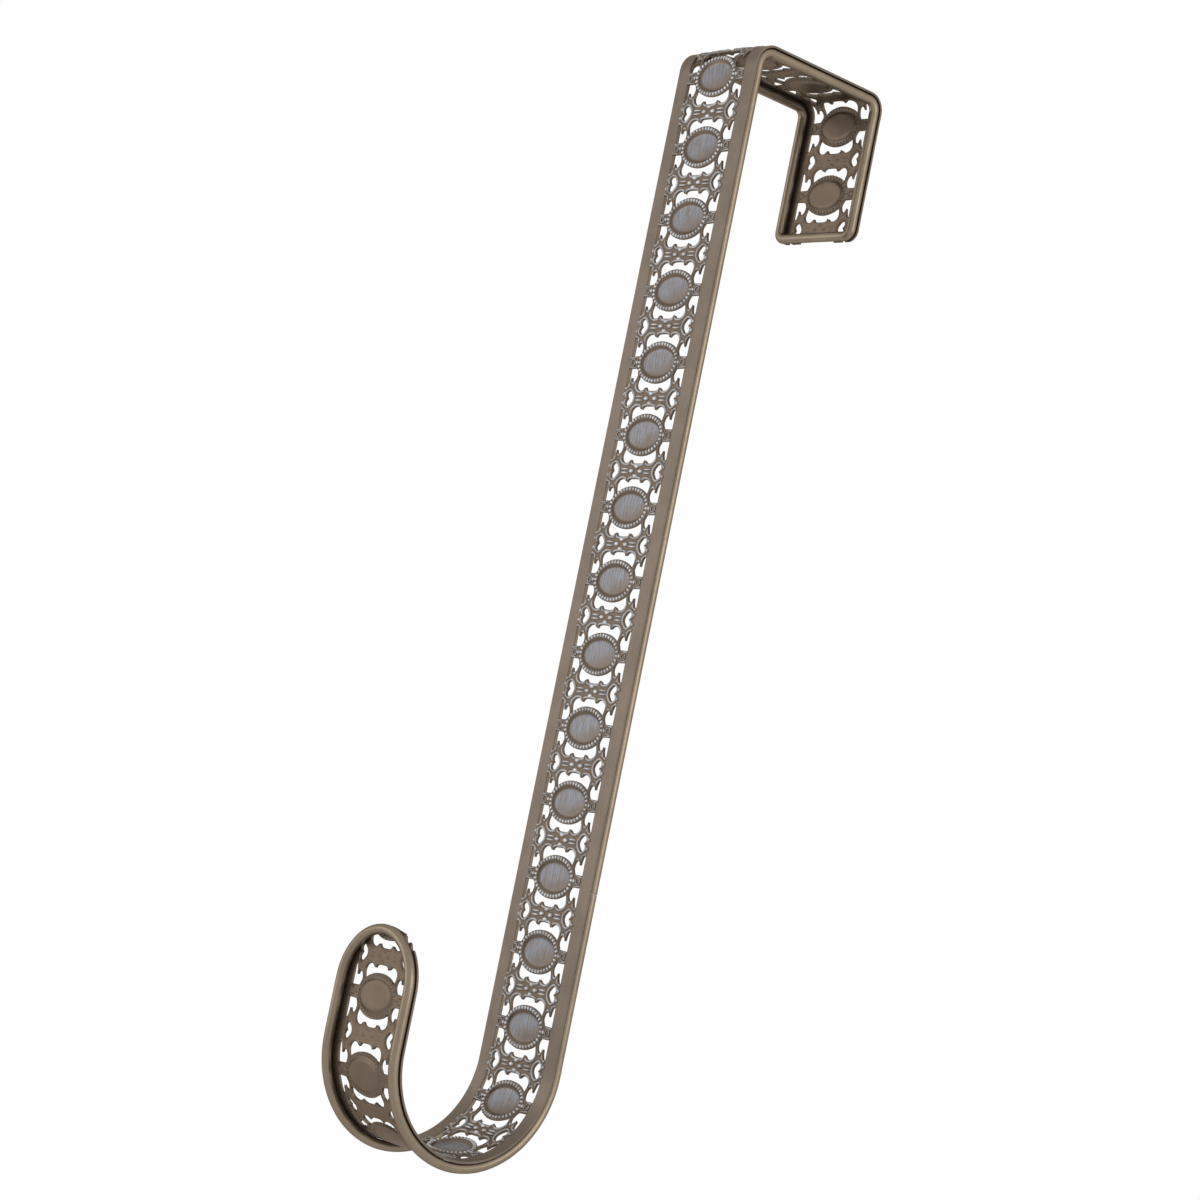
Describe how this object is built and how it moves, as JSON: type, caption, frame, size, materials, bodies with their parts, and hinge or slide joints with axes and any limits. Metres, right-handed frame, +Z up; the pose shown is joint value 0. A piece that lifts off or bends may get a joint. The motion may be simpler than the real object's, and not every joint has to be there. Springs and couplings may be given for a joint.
{
  "type": "wreath hanger",
  "caption": "Over-the-door wreath hanger: a pierced, embossed metal strip soldered to a loop of round wire, bent into a door saddle, a long front leg and a half-round hook",
  "frame": {"origin": "on the door's top edge, midway through the door's thickness and midway across the strip, where the saddle's wires rest at z = 0", "axes": "+X across the strip, +Y from the front leg and its hook to the rear leg, +Z up"},
  "size_m": [0.037, 0.1225, 0.369],
  "materials": {
    "bronzed_wire": "satin antique bronze, rubbed lighter along its crest",
    "bronzed_sheet": "satin antique bronze, darker in its recesses"
  },
  "bodies": {
    "root": {"wire_frame": "bronzed_wire", "filigree_strip": "bronzed_sheet"}
  },
  "joints": []
}
